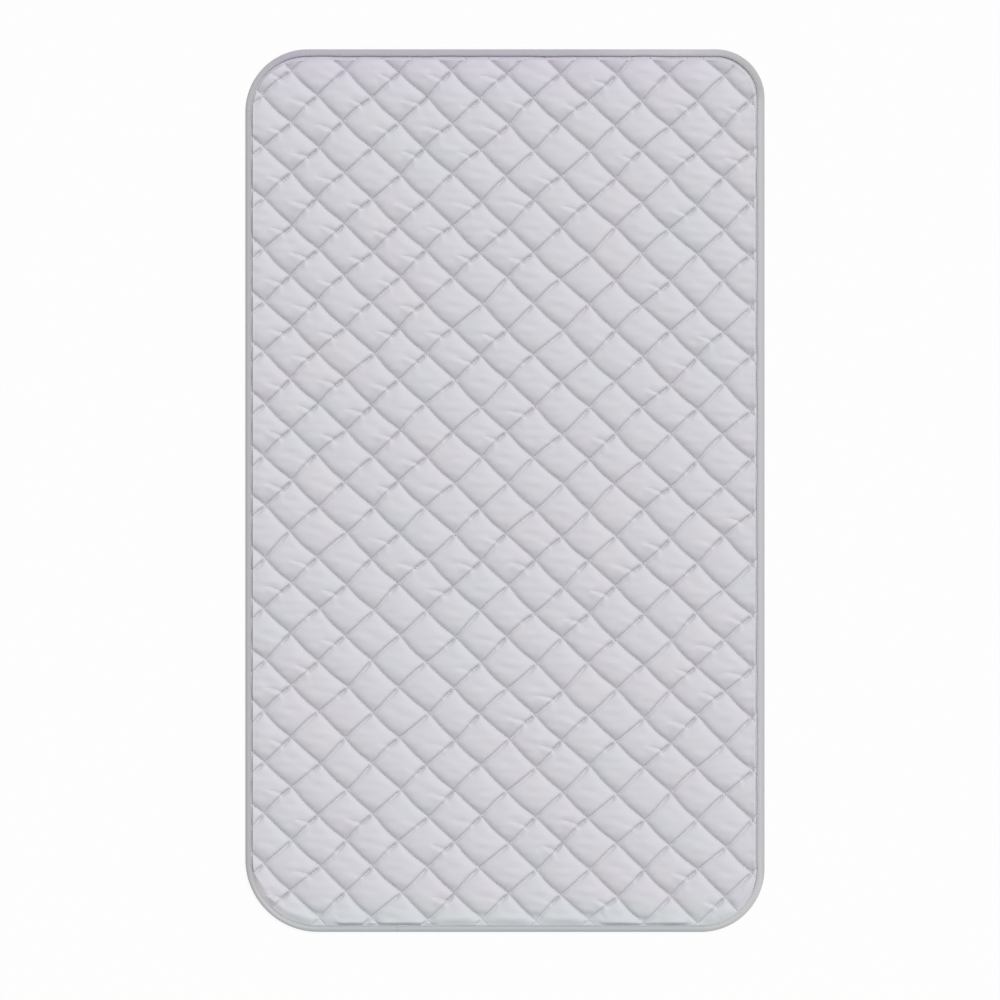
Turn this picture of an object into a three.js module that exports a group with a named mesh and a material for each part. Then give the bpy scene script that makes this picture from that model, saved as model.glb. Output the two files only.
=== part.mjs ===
// Quilted ironing pad: a face cloth and a backing cloth with wadding between them, sewn through in two
// sets of straight rows that cross in diamonds, and bound round the edge with a folded tape.
// Millimetres, +Z up. The pad lies flat with its face up, the origin at the middle of its underside,
// +X across its width and +Y along its length.
import * as THREE from 'three';

// Outline of the whole pad, with a radius of its own at each corner
const padWidth = 500;
const padLength = 850;
const rightTopRadius = 47;
const leftTopRadius = 60;
const leftBottomRadius = 70;
const rightBottomRadius = 61;
const cornerSteps = 6;

// Cloth, wadding and tape
const clothThickness = 0.5;
const seamWaddingThickness = 0.8;
const tapeThickness = 0.6;
const tapeLegWidth = 7.5;
const tapeInnerFold = 0.6;
const foldSteps = 2;
const backingRiseRun = 4;

// Quilting: the diagonals of one diamond, how high it puffs, and where the rows lie on the pad
const diamondWidth = 52.1;
const diamondLength = 49.4;
const crownRise = 4.2;
const leastRiseShare = 0.25;
const crosswiseTurnDegrees = -0.8;
const lengthwiseTurnDegrees = 0.1;
const firstCrossingX = 2.2;
const firstCrossingY = 6.7;
const puffMargin = 1;
const stuffedMargin = 40;

// Thread
const threadThickness = 0.4;
const threadSides = 6;
const tapeSeamInset = 1.5;

// Clear space between layers that lie on each other
const clearance = 0.3;

// Levels of the layers where they are held in the tape, which is also where the rows hold the face
const threadRadius = threadThickness / 2;
const tapeUnderside = threadThickness + clearance;
const backingEdgeLow = tapeUnderside + tapeThickness + clearance;
const backingEdgeTop = backingEdgeLow + clothThickness;
const waddingEdgeLow = backingEdgeTop + clearance;
const waddingEdgeTop = waddingEdgeLow + seamWaddingThickness;
const faceLow = waddingEdgeTop + clearance;
const faceTop = faceLow + clothThickness;
const tapeInnerTop = faceTop + clearance;
const tapeTop = tapeInnerTop + tapeThickness;

// Places measured inward from the outline
const tapeFoldRadius = tapeThickness + tapeInnerFold;
const layerInset = tapeFoldRadius;
const slopeStartInset = tapeLegWidth + clearance;
const slopeEndInset = slopeStartInset + backingRiseRun;
const puffInset = slopeStartInset + puffMargin;
const tapeSeamLine = tapeLegWidth - tapeSeamInset;

// Colours of the cloths and threads
const faceMaterial = new THREE.MeshStandardMaterial({ color: 0xcccbd0, roughness: 0.62, metalness: 0 });
const waddingMaterial = new THREE.MeshStandardMaterial({ color: 0xf1f0ec, roughness: 0.95, metalness: 0 });
const backingMaterial = new THREE.MeshStandardMaterial({ color: 0xc4c3c7, roughness: 0.85, metalness: 0 });
const tapeMaterial = new THREE.MeshStandardMaterial({ color: 0xb9b8bd, roughness: 0.75, metalness: 0 });
const threadMaterial = new THREE.MeshStandardMaterial({ color: 0xaeadb3, roughness: 0.6, metalness: 0 });

// The corners in order round the pad, anticlockwise from the right top one
const corners = [
  { side: 1, end: 1, radius: rightTopRadius },
  { side: -1, end: 1, radius: leftTopRadius },
  { side: -1, end: -1, radius: leftBottomRadius },
  { side: 1, end: -1, radius: rightBottomRadius },
];

// The pad's outline drawn in by an inset, as points that run anticlockwise
function outline(inset) {
  return corners.flatMap(({ side, end, radius }, quarter) => {
    const centre = new THREE.Vector2(side * (padWidth / 2 - radius), end * (padLength / 2 - radius));
    return Array.from({ length: cornerSteps + 1 }, (_, step) => {
      const angle = (quarter + step / cornerSteps) * Math.PI / 2;
      const arm = new THREE.Vector2(Math.cos(angle), Math.sin(angle));
      return arm.multiplyScalar(radius - inset).add(centre);
    });
  });
}

function atHeight(points, z) {
  return points.map((point) => new THREE.Vector3(point.x, point.y, z));
}

function ring(inset, z) {
  return atHeight(outline(inset), z);
}

// Surfaces are lists of triangles. A strip joins two rings with as many points each.
function strip(lower, upper) {
  return lower.flatMap((point, index) => {
    const next = (index + 1) % lower.length;
    return [
      [point, lower[next], upper[next]],
      [point, upper[next], upper[index]],
    ];
  });
}

function stack(rings) {
  return rings.slice(1).flatMap((upper, index) => strip(rings[index], upper));
}

// A level surface inside an outline and round any holes, facing up
function level(contour, holes, z) {
  const points = atHeight([contour, ...holes].flat(), z);
  const faces = THREE.ShapeUtils.triangulateShape(contour, holes);
  return faces.map((face) => face.map((index) => points[index]));
}

function faceDown(triangles) {
  return triangles.map(([a, b, c]) => [a, c, b]);
}

function solid(name, triangles, material) {
  const geometry = new THREE.BufferGeometry().setFromPoints(triangles.flat());
  geometry.computeVertexNormals();
  const mesh = new THREE.Mesh(geometry, material);
  mesh.name = name;
  return mesh;
}

// A closed band that follows the pad's outline. Its section is a loop of insets and heights that runs
// anticlockwise when seen with the pad's outer edge on the right.
function band(name, section, material) {
  const rings = section.map(([inset, z]) => ring(inset, z));
  return solid(name, stack([...rings, rings[0]]), material);
}

// The quilting grid. One set of rows rises to the right and the other falls to the right, and the
// two diagonals of a diamond each sit a little askew on the pad.
const padCentre = new THREE.Vector2();
const turned = (x, y, degrees) => (
  new THREE.Vector2(x, y).rotateAround(padCentre, THREE.MathUtils.degToRad(degrees))
);
const halfAcross = turned(diamondWidth / 2, 0, crosswiseTurnDegrees);
const halfAlong = turned(0, diamondLength / 2, lengthwiseTurnDegrees);
const firstCrossing = new THREE.Vector2(firstCrossingX, firstCrossingY);
const risingSide = halfAlong.clone().add(halfAcross);
const fallingSide = halfAlong.clone().sub(halfAcross);
const gridReach = Math.ceil(padWidth / diamondWidth + padLength / diamondLength);
const gridPlaces = Array.from({ length: 2 * gridReach + 1 }, (_, place) => place - gridReach);

// Where two rows cross, from a place counted along a rising row and one along a falling row
function crossing([rise, fall]) {
  return firstCrossing.clone().addScaledVector(risingSide, rise).addScaledVector(fallingSide, fall);
}

// Every diamond of the grid, as the places of its four corners
const gridDiamonds = gridPlaces.flatMap((rise) => gridPlaces.map((fall) => (
  [[rise, fall], [rise + 1, fall], [rise + 1, fall + 1], [rise, fall + 1]]
)));

// How far a point lies inside one edge of an anticlockwise outline
function depthInside(point, start, end) {
  const edge = end.clone().sub(start);
  return edge.cross(point.clone().sub(start)) / edge.length();
}

function leastDepth(point, contour) {
  return Math.min(...contour.map((start, index) => (
    depthInside(point, start, contour[(index + 1) % contour.length])
  )));
}

// The part of a convex shape that lies inside a convex outline
function cutTo(shape, contour) {
  return contour.reduce((points, start, edge) => points.flatMap((point, index) => {
    const end = contour[(edge + 1) % contour.length];
    const next = points[(index + 1) % points.length];
    const here = depthInside(point, start, end);
    const there = depthInside(next, start, end);
    const kept = here > 0 ? [point] : [];
    return here * there < 0 ? [...kept, point.clone().lerp(next, here / (here - there))] : kept;
  }), shape);
}

// Where a straight line crosses a convex outline, as two distances along the line
function spanInside(start, direction, contour) {
  const span = [-Infinity, Infinity];
  contour.forEach((point, index) => {
    const end = contour[(index + 1) % contour.length];
    const depth = depthInside(start, point, end);
    const approach = depthInside(start.clone().add(direction), point, end) - depth;
    if (approach > 0) {
      span[0] = Math.max(span[0], -depth / approach);
    }
    if (approach < 0) {
      span[1] = Math.min(span[1], -depth / approach);
    }
  });
  return span;
}

// One set of rows, each as the two ends that it has inside an outline
function rowsInside(contour, direction, firstPlace) {
  const along = direction.clone().normalize();
  return gridPlaces.flatMap((place) => {
    const start = crossing(firstPlace(place));
    const [from, to] = spanInside(start, along, contour);
    return from < to ? [[from, to].map((distance) => start.clone().addScaledVector(along, distance))] : [];
  });
}

const risingRows = (contour) => rowsInside(contour, risingSide, (place) => [0, place]);
const fallingRows = (contour) => rowsInside(contour, fallingSide, (place) => [place, 0]);

function middleOf(shape) {
  return shape.reduce((sum, point) => sum.add(point), new THREE.Vector2()).divideScalar(shape.length);
}

// A diamond, or what the edge leaves of one, rises from its sides to a crown at its middle. A small
// piece rises less, by how near its middle lies to its sides, and a scrap stays level.
const wholeDiamond = gridDiamonds[0].map(crossing);
const wholeDepth = leastDepth(middleOf(wholeDiamond), wholeDiamond);

function puff(shape, z) {
  const middle = middleOf(shape);
  const riseShare = leastDepth(middle, shape) / wholeDepth;
  if (riseShare < leastRiseShare) {
    return level(shape, [], z);
  }
  const crown = new THREE.Vector3(middle.x, middle.y, z + riseShare * crownRise);
  const rim = atHeight(shape, z);
  return rim.map((point, index) => [point, rim[(index + 1) % rim.length], crown]);
}

// The face as it shows: every diamond puffs, cut off at the edge, and a level margin goes into the tape
function quiltedFace(z) {
  const contour = outline(puffInset);
  const pieces = gridDiamonds.map((places) => cutTo(places.map(crossing), contour));
  const rowEnds = [...risingRows(contour), ...fallingRows(contour)].flat();
  const rim = [...contour, ...rowEnds].sort((a, b) => a.angle() - b.angle());
  return [
    ...pieces.filter((piece) => piece.length > 0).flatMap((piece) => puff(piece, z)),
    ...level(outline(layerInset), [rim], z),
  ];
}

// The line round a patch of diamonds, anticlockwise: the sides that only one diamond has, end to end
function patchOutline(diamonds) {
  const sides = new Map();
  for (const places of diamonds) {
    places.forEach((start, index) => {
      const end = places[(index + 1) % places.length];
      if (!sides.delete(`${end}>${start}`)) {
        sides.set(`${start}>${end}`, { start, end });
      }
    });
  }
  const nextFrom = new Map([...sides.values()].map(({ start, end }) => [`${start}`, end]));
  const loop = [nextFrom.values().next().value];
  while (loop.length < nextFrom.size) {
    loop.push(nextFrom.get(`${loop.at(-1)}`));
  }
  return loop.map(crossing);
}

// The wadding swells up into the diamonds that lie well inside the edge, and is level round them
const puffedContour = outline(puffInset);
const stuffedDiamonds = gridDiamonds.filter((places) => (
  places.every((place) => leastDepth(crossing(place), puffedContour) > stuffedMargin)
));

function stuffedSurface(z) {
  return [
    ...stuffedDiamonds.flatMap((places) => puff(places.map(crossing), z)),
    ...level(outline(layerInset), [patchOutline(stuffedDiamonds)], z),
  ];
}

// The face cloth is as thin as cloth over the wadding
function faceFabric() {
  return solid('face_fabric', [
    ...faceDown(stuffedSurface(faceLow)),
    ...strip(ring(layerInset, faceLow), ring(layerInset, faceTop)),
    ...quiltedFace(faceTop),
  ], faceMaterial);
}

// Below, the layers lie on the table inside the tape and rise to reach into it
function lowerSurface(middleZ, edgeZ) {
  return [
    ...faceDown(level(outline(slopeEndInset), [], middleZ)),
    ...stack([ring(slopeEndInset, middleZ), ring(slopeStartInset, edgeZ), ring(layerInset, edgeZ)]),
  ];
}

function wadding() {
  return solid('wadding', [
    ...lowerSurface(clothThickness + clearance, waddingEdgeLow),
    ...strip(ring(layerInset, waddingEdgeLow), ring(layerInset, waddingEdgeTop)),
    ...stuffedSurface(waddingEdgeTop),
  ], waddingMaterial);
}

function backingFabric() {
  return solid('backing_fabric', [
    ...lowerSurface(0, backingEdgeLow),
    ...strip(ring(layerInset, backingEdgeLow), ring(layerInset, backingEdgeTop)),
    ...faceDown(lowerSurface(clothThickness, backingEdgeTop)),
  ], backingMaterial);
}

// The tape is folded round the edge of the three layers, a leg above them and a leg below
function edgeBinding() {
  const down = -Math.PI / 2;
  const up = Math.PI / 2;
  const fold = (z, radius, from, to) => Array.from({ length: foldSteps + 1 }, (_, step) => {
    const angle = THREE.MathUtils.lerp(from, to, step / foldSteps);
    return [tapeFoldRadius - radius * Math.cos(angle), z + radius * Math.sin(angle)];
  });
  const lowCentre = tapeUnderside + tapeFoldRadius;
  const topCentre = tapeTop - tapeFoldRadius;
  return band('edge_binding', [
    [tapeLegWidth, tapeUnderside],
    ...fold(lowCentre, tapeFoldRadius, down, 0),
    ...fold(topCentre, tapeFoldRadius, 0, up),
    [tapeLegWidth, tapeTop],
    [tapeLegWidth, tapeInnerTop],
    ...fold(topCentre, tapeInnerFold, up, 0),
    ...fold(lowCentre, tapeInnerFold, 0, down),
    [tapeLegWidth, tapeUnderside + tapeThickness],
  ], tapeMaterial);
}

// A seam thread runs right round the tape on its upper leg, and another on its lower leg
function tapeThread(name, z) {
  const section = Array.from({ length: threadSides }, (_, side) => {
    const angle = side / threadSides * 2 * Math.PI;
    return [tapeSeamLine - threadRadius * Math.cos(angle), z + threadRadius * Math.sin(angle)];
  });
  return band(name, section, threadMaterial);
}

// One set of threads from tape to tape, where a row is longer than the side of a diamond
function quiltingThreads(name, rows, z) {
  const leastLength = risingSide.length();
  const sewn = rows.filter(([start, end]) => start.distanceTo(end) > leastLength);
  return sewn.map(([start, end], index) => {
    const along = end.clone().sub(start);
    const thread = new THREE.CylinderGeometry(threadRadius, threadRadius, along.length(), threadSides);
    const mesh = new THREE.Mesh(thread, threadMaterial);
    mesh.name = `${name}_${String(index + 1).padStart(2, '0')}`;
    mesh.position.set((start.x + end.x) / 2, (start.y + end.y) / 2, z);
    mesh.rotation.z = along.angle() - Math.PI / 2;
    return mesh;
  });
}

const pad = new THREE.Group();
pad.add(faceFabric());
pad.add(wadding());
pad.add(backingFabric());
pad.add(edgeBinding());
pad.add(tapeThread('binding_needle_thread', tapeTop + clearance + threadRadius));
pad.add(tapeThread('binding_bobbin_thread', threadRadius));

// The falling rows lie in their grooves, and the rising rows cross over them
const sewnContour = outline(slopeStartInset);
const fallingRowZ = faceTop + clearance + threadRadius;
const risingRowZ = fallingRowZ + threadThickness + clearance;
pad.add(...quiltingThreads('falling_row', fallingRows(sewnContour), fallingRowZ));
pad.add(...quiltingThreads('rising_row', risingRows(sewnContour), risingRowZ));

export default pad;
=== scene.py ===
# Quilted ironing pad, lying flat: face cloth, wadding, backing cloth, binding tape and the threads
# that hold them. Metres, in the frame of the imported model.
from math import ceil, cos, floor, pi, radians, sin, sqrt

import bpy
import numpy as np
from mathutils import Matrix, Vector


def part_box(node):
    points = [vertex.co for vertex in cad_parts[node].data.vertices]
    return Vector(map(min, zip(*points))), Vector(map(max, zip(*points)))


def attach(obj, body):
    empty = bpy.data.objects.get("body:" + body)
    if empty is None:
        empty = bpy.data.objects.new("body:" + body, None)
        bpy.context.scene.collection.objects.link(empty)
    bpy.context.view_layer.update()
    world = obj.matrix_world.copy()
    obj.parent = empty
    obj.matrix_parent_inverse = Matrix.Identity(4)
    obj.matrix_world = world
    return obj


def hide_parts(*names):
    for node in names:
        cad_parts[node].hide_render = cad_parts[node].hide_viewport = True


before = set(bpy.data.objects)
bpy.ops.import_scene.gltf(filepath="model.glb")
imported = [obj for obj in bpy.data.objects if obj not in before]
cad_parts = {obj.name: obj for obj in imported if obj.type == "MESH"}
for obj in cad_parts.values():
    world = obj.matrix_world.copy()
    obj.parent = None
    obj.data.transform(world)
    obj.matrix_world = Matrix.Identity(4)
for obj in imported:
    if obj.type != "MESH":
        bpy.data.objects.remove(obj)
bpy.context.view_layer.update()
dice = np.random.default_rng(41)
mm = 0.001
fullTurn = 2 * pi

# What every layer of the pad is cut and sewn to
plan = {
    "width": 0.500,
    "length": 0.850,
    "rightTop": 0.047,  # radius of each corner
    "leftTop": 0.060,
    "leftBottom": 0.070,
    "rightBottom": 0.061,
    "diamondWidth": 0.0521,
    "diamondLength": 0.0494,
    "crosswiseTurn": -0.8,  # degrees that a diamond's diagonals sit askew on the pad
    "lengthwiseTurn": 0.1,
    "crossing": (0.0022, 0.0067),  # where two rows cross
    "reach": 15,  # diamonds drawn each way from there, before the cut
    "stitches": 12,  # along one side of a diamond
    "wander": (0.018, 0.026),  # share of a diamond's side that falling and rising rows stray
    "waves": [(0.37, 0.21, 1.0), (0.13, -0.46, 4.0), (-0.24, 0.29, 2.0), (0.41, 0.17, 5.2)],
    "hang": 0.022,  # how far the falling rows hang between two crossings
}


def smoothStep(low, high, value):
    share = np.clip((value - low) / (high - low), 0, 1)
    return share * share * (3 - 2 * share)


def bell(offset, reach):
    return np.exp(-(offset / reach) ** 2)


# The pad's outline

def pastCorner(x, y):
    # the nearest corner's radius, and how far a place is past where that corner begins
    top = np.where(x > 0, plan["rightTop"], plan["leftTop"])
    bottom = np.where(x > 0, plan["rightBottom"], plan["leftBottom"])
    radius = np.where(y > 0, top, bottom)
    return radius, np.abs(x) - plan["width"] / 2 + radius, np.abs(y) - plan["length"] / 2 + radius


def depthInside(x, y):
    radius, acrossX, acrossY = pastCorner(x, y)
    bent = np.hypot(np.maximum(acrossX, 0), np.maximum(acrossY, 0))
    return radius - bent - np.minimum(np.maximum(acrossX, acrossY), 0)


def towardsEdge(x, y):
    _, acrossX, acrossY = pastCorner(x, y)
    inCorner = (acrossX > 0) & (acrossY > 0)
    goX = np.where(inCorner, acrossX, acrossX >= acrossY) * np.sign(x)
    goY = np.where(inCorner, acrossY, acrossX < acrossY) * np.sign(y)
    size = np.hypot(goX, goY)
    return goX / size, goY / size


def outlineSpans():
    # straight run and the corner after it, anticlockwise from the middle of the near edge
    radii = [plan[key] for key in ("rightBottom", "rightTop", "leftTop", "leftBottom")]
    sides = [plan["width"] / 2, plan["length"], plan["width"], plan["length"], plan["width"] / 2]
    ends = zip(sides, [0] + radii, radii + [0])
    return [(side - past - ahead, ahead) for side, past, ahead in ends]


def outlineLength():
    return sum(run + radius * pi / 2 for run, radius in outlineSpans())


def walkOutline(places):
    # where the outline is, and which way is outward, after walking so far along it
    placeX, placeY, heading = 0.0, -plan["length"] / 2, 0.0
    x, y, turned = (np.zeros_like(places) for _ in range(3))
    start = 0.0
    for run, radius in outlineSpans():
        on = places >= start
        x = np.where(on, placeX + (places - start) * cos(heading), x)
        y = np.where(on, placeY + (places - start) * sin(heading), y)
        turned = np.where(on, heading, turned)
        start += run
        placeX += run * cos(heading)
        placeY += run * sin(heading)
        if radius:
            middleX = placeX - radius * sin(heading)
            middleY = placeY + radius * cos(heading)
            on = places >= start
            bearing = heading + (places - start) / radius
            x = np.where(on, middleX + radius * np.sin(bearing), x)
            y = np.where(on, middleY - radius * np.cos(bearing), y)
            turned = np.where(on, bearing, turned)
            start += radius * pi / 2
            heading += pi / 2
            placeX = middleX + radius * sin(heading)
            placeY = middleY - radius * cos(heading)
    return x, y, np.sin(turned), -np.cos(turned)


# The tape sits a little differently on each side of the pad
tapeFit = {
    # width of its leg, gap beside it, how proud its inner edge stands, width of the cloth's rise
    "left": (5.7 * mm, 0.6 * mm, 0.1 * mm, 1.3 * mm),
    "right": (7.3 * mm, 0.6 * mm, 0.1 * mm, 2.4 * mm),
    "top": (6.9 * mm, 1.9 * mm, 0.9 * mm, 2.0 * mm),
    "bottom": (6.4 * mm, 0, -0.1 * mm, 3.4 * mm),
    "nearCorners": (0, -0.3 * mm, 0, 0),  # added to those at the two near corners
}

# Along the near edge, but for its plain stretches, the cloth comes out level with the tape
nearEdge = {
    "from": (-0.365, -0.385),  # where it starts and where it is in full
    "plain": [(-0.162, -0.066), (0.092, 0.176)],
    "fade": 4 * mm,  # at the ends of a plain stretch
    "raised": 1.6 * mm,
    "meets": (-0.5 * mm, 0.1 * mm),  # where the raised cloth comes up from under the tape
    "slower": 4.6 * mm,  # added to the width of the cloth's rise
    "sooner": (0.6, 0.3),  # taken off the ends of its fall to the rows
}


def fitTowards(outX, outY):
    # the tape's fit where the pad's edge faces this way
    shares = [np.maximum(way, 0) ** 2 for way in (-outX, outX, outY, -outY)]
    shares.append(4 * shares[3] * (shares[0] + shares[1]))
    fits = zip(*tapeFit.values())
    return [sum(share * part for share, part in zip(shares, parts)) for parts in fits]


def insideTape(x, y):
    # how far a place is inside the line where the cloth comes out from the tape
    leg, gap, _, _ = fitTowards(*towardsEdge(x, y))
    return depthInside(x, y) - leg - gap


def levelWithTape(x, y):
    # 1 where the cloth comes out level with the tape, and 0 where it starts below it
    share, fade = smoothStep(*nearEdge["from"], y), nearEdge["fade"]
    for start, end in nearEdge["plain"]:
        plain = smoothStep(start - fade, start + fade, x) * smoothStep(end + fade, end - fade, x)
        share = share * (1 - plain)
    return share


def pastTape(x, y):
    # how far inside that line, as a share of the width of the cloth's rise
    _, _, _, rise = fitTowards(*towardsEdge(x, y))
    return insideTape(x, y) / (rise + nearEdge["slower"] * levelWithTape(x, y))


# The quilting: u counts the diamonds along the rising rows, v along the falling ones

def turnedArrow(length, degrees):
    return np.array([cos(radians(degrees)), sin(radians(degrees))]) * length


halfAcross = turnedArrow(plan["diamondWidth"] / 2, plan["crosswiseTurn"])
halfAlong = turnedArrow(plan["diamondLength"] / 2, 90 + plan["lengthwiseTurn"])
risingSide, fallingSide = halfAlong + halfAcross, halfAlong - halfAcross
intoQuilt = np.linalg.inv(np.column_stack([risingSide, fallingSide]))


def stray(u, v, sine=np.sin):
    # hand-guided rows are never quite straight
    waves = [sine((u * alongU + v * alongV) * fullTurn + phase)
             for alongU, alongV, phase in plan["waves"]]
    hang = (1 - sine(v * fullTurn + pi / 2)) * (plan["hang"] / 2)
    falling, rising = plan["wander"]
    return (waves[0] + waves[1]) * falling - hang, (waves[2] + waves[3]) * rising


def fromQuilt(u, v):
    strayU, strayV = stray(u, v)
    u, v = u + strayU, v + strayV
    sides = zip(plan["crossing"], risingSide, fallingSide)
    return tuple(start + u * rise + v * fall for start, rise, fall in sides)


def toQuilt(x, y):
    x, y = x - plan["crossing"][0], y - plan["crossing"][1]
    u, v = straightU, straightV = [x * one + y * other for one, other in intoQuilt]
    for _ in range(2):
        strayU, strayV = stray(u, v)
        u, v = straightU - strayU, straightV - strayV
    return u, v


def puffShare(u, v):
    # 0 along the rows and 1 in the middle of a diamond
    inU, inV = u % 1, v % 1
    return np.clip(16 * inU * (1 - inU) * inV * (1 - inV), 0, 1)


def ripples(x, y, lengthX, lengthY, waves=9):
    # drawn waves laid over each other, mostly between -1 and 1
    total = np.zeros_like(x)
    for bearing, phase, size in dice.uniform((0, 0, 0.7), (pi, fullTurn, 1.4), (waves, 3)):
        across = x / lengthX * cos(bearing) + y / lengthY * sin(bearing)
        total += np.sin(fullTurn * size * across + phase)
    return total / sqrt(waves)


def squareCorners(values):
    # the four corners of each square of a net, in turn
    return values[:-1, :-1], values[1:, :-1], values[1:, 1:], values[:-1, 1:]


class QuiltGrid:
    # a net of squares that follows the rows, cut to the pad's outline
    def __init__(self, perDiamond, cutDepth, edgeInset):
        counts = np.arange(-plan["reach"] * perDiamond, plan["reach"] * perDiamond + 1)
        share, turns = (counts % perDiamond) / perDiamond, 2 * fullTurn
        # the lines crowd at the rows and at the middle of each side
        lines = counts // perDiamond + share - faceCloth["crowding"] * np.sin(turns * share) / turns
        self.u, self.v = np.meshgrid(lines, lines, indexing="ij")
        onRow = counts % perDiamond == 0
        self.onRow = onRow[:, None] | onRow[None, :]
        self.x, self.y = fromQuilt(self.u, self.v)
        middleX, middleY = (sum(squareCorners(places)) / 4 for places in (self.x, self.y))
        keep = depthInside(middleX, middleY) > cutDepth
        around = np.zeros(self.u.shape, int)
        for corner in squareCorners(around):
            corner += keep
        self.used = around > 0
        number = np.full(self.u.shape, -1)
        number[self.used] = np.arange(self.used.sum())
        self.quads = np.stack([corner[keep] for corner in squareCorners(number)], 1)
        # the stepped edge is drawn out to one even line
        rim = self.used & (around < 4)
        goX, goY = towardsEdge(self.x[rim], self.y[rim])
        push = depthInside(self.x[rim], self.y[rim]) - edgeInset
        self.x[rim] += goX * push
        self.y[rim] += goY * push
        self.depth = depthInside(self.x, self.y)

    def points(self, z, moveX=0, moveY=0):
        return np.stack([self.x + moveX, self.y + moveY, z], -1)[self.used]


def newMesh(name, points, faces):
    mesh = bpy.data.meshes.new(name)
    mesh.from_pydata(points, [], faces)
    return mesh


def addObject(name, data):
    made = bpy.data.objects.new(name, data)
    bpy.context.collection.objects.link(made)
    return made


def readAll(items, name, width, kind=float):
    values = np.empty(len(items) * width, kind)
    items.foreach_get(name, values)
    return values.reshape(-1, width)


# Face cloth

faceCloth = {
    "perDiamond": 12,  # squares along a diamond's side before smoothing
    "crowding": 0.3,
    "cutDepth": 3 * mm,  # inside the outline, where the squares end
    "thickness": 0.5 * mm,
    "edgeInset": 1.8 * mm,
    "rowLevel": 3.1 * mm,  # top of the cloth where a row holds it
    "grooveDepth": 1.2 * mm,
    "risingGroove": (1.25, 1.2 * mm, -0.7 * mm),  # share of that depth, half width, shift across
    "fallingGroove": (0.30, 1.9 * mm, 0.1 * mm),
    "runOut": (1.4 * mm, 1.5 * mm, 0.6),  # place before a crossing where grooves fade, reach, share
    "deeper": (1.15, 0.82, 0.14),  # added to a rising groove past its tuck, place, reach
    "bow": 2.1 * mm,  # the rising rows stand up between the falling ones
    "bowReach": 0.12,
    "bowStart": 0.014,
    "bowSkew": 0.45,  # and most towards a diamond's near corner
    "bowFlanks": (1.5 * mm, 6 * mm),  # half widths beside its own row and a falling one
    "corner": (1.1 * mm, 4.5 * mm, 4.0 * mm),  # that corner's sink, place, half width
    "edgeLevel": 4.0 * mm,  # top of the cloth where the tape holds it
    # in widths of its rise beside the tape:
    "fall": (2.2, 0.3),  # where it has come down to the rows, and from where
    "puffs": (-0.1, 1.1),  # where the rows and puffs begin and are in full
    "held": -0.2,  # where the tape lets go
    "spare": (0.060, 0.085),  # spare cloth in the least and the most filled diamond
    "scale": 20,  # solved at so many times its size, where the solver is steadier
    "startRise": (0.4 * mm, 0.2),  # of a puff, and how much more in the most filled
    "solver": {
        "quality": 5,
        "mass": 0.3,
        "tension_stiffness": 15,
        "compression_stiffness": 15,
        "shear_stiffness": 5,
        "bending_stiffness": 0.6,
        "use_pressure": True,
        "uniform_pressure_force": 7.0,
        "vertex_group_mass": "held",
        "vertex_group_shrink": "spare",
    },
    "steps": 16,
    "fullest": 1.8 * mm,  # how high the filling stands over the grooves
    "gain": 0.85,
    "skew": 0.3,  # the sewing pushed the filling down along the falling rows
    "lean": 1.3 * mm,
    "sagSize": 0.38 * mm,
    "sagLength": (30 * mm, 11 * mm),
    "foldLines": [line * mm for line in (-0.4, 0.0, 0.4, 0.8, 1.3, 1.9, 2.6, 3.4)],
    "snap": 0.13 * mm,
    "liningGap": 0.6,  # least room above the hidden side, in thicknesses
    "liningRise": 0.45,  # it keeps low beside the tape
    "liningStart": 2.4 * mm,
}


def faceLevel(x, y, past):
    # the cloth's level where nothing lifts it, from the tape down to the rows
    share, rowLevel = levelWithTape(x, y), faceCloth["rowLevel"]
    meets = smoothStep(*nearEdge["meets"], insideTape(x, y))
    level = faceCloth["edgeLevel"] + nearEdge["raised"] * share * meets
    low, high = (end - sooner * share for end, sooner in zip(faceCloth["fall"], nearEdge["sooner"]))
    return rowLevel + (level - rowLevel) * smoothStep(low, high, past)


def groove(across, kind):
    share, reach, shift = faceCloth[kind]
    return share * bell(across - shift, reach)


def sewnLevel(x, y):
    # top of the face cloth where the rows pull it down, before the filling lifts it
    past = pastTape(x, y)
    u, v = toQuilt(x, y)
    acrossFalling = (u - np.round(u)) * float(np.hypot(*risingSide))
    acrossRising = (v - np.round(v)) * float(np.hypot(*fallingSide))
    before, reach, share = faceCloth["runOut"]
    fades = [share * bell(across + before, reach) for across in (acrossFalling, acrossRising)]
    rising, falling = groove(acrossRising, "risingGroove"), groove(acrossFalling, "fallingGroove")
    more, middle, reach = faceCloth["deeper"]
    rising *= 1 + more * bell(u % 1 - middle, reach)
    sunk = np.maximum(rising * (1 - fades[0]), falling * (1 - fades[1]))
    place = (u - faceCloth["bowStart"]) % 1
    bow = (1 - np.exp(-place / faceCloth["bowReach"])) * (1 - place ** 3)
    besideRising, besideFalling = faceCloth["bowFlanks"]
    skew = faceCloth["bowSkew"] * (1 - 2 * (v % 1)) * (1 - bell(acrossRising, besideRising))
    bow *= 1 + skew - fades[1] * bell(acrossFalling, besideFalling)
    crossX, crossY = fromQuilt(np.round(u), np.round(v))
    sink, beside, reach = faceCloth["corner"]
    corner = sink * bell(x - crossX, reach) * bell(y - crossY - beside, reach)
    lifted = faceCloth["bow"] * bow + faceCloth["grooveDepth"] * (1 - sunk) - corner
    return faceLevel(x, y, past) + lifted * smoothStep(*faceCloth["puffs"], past)


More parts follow.
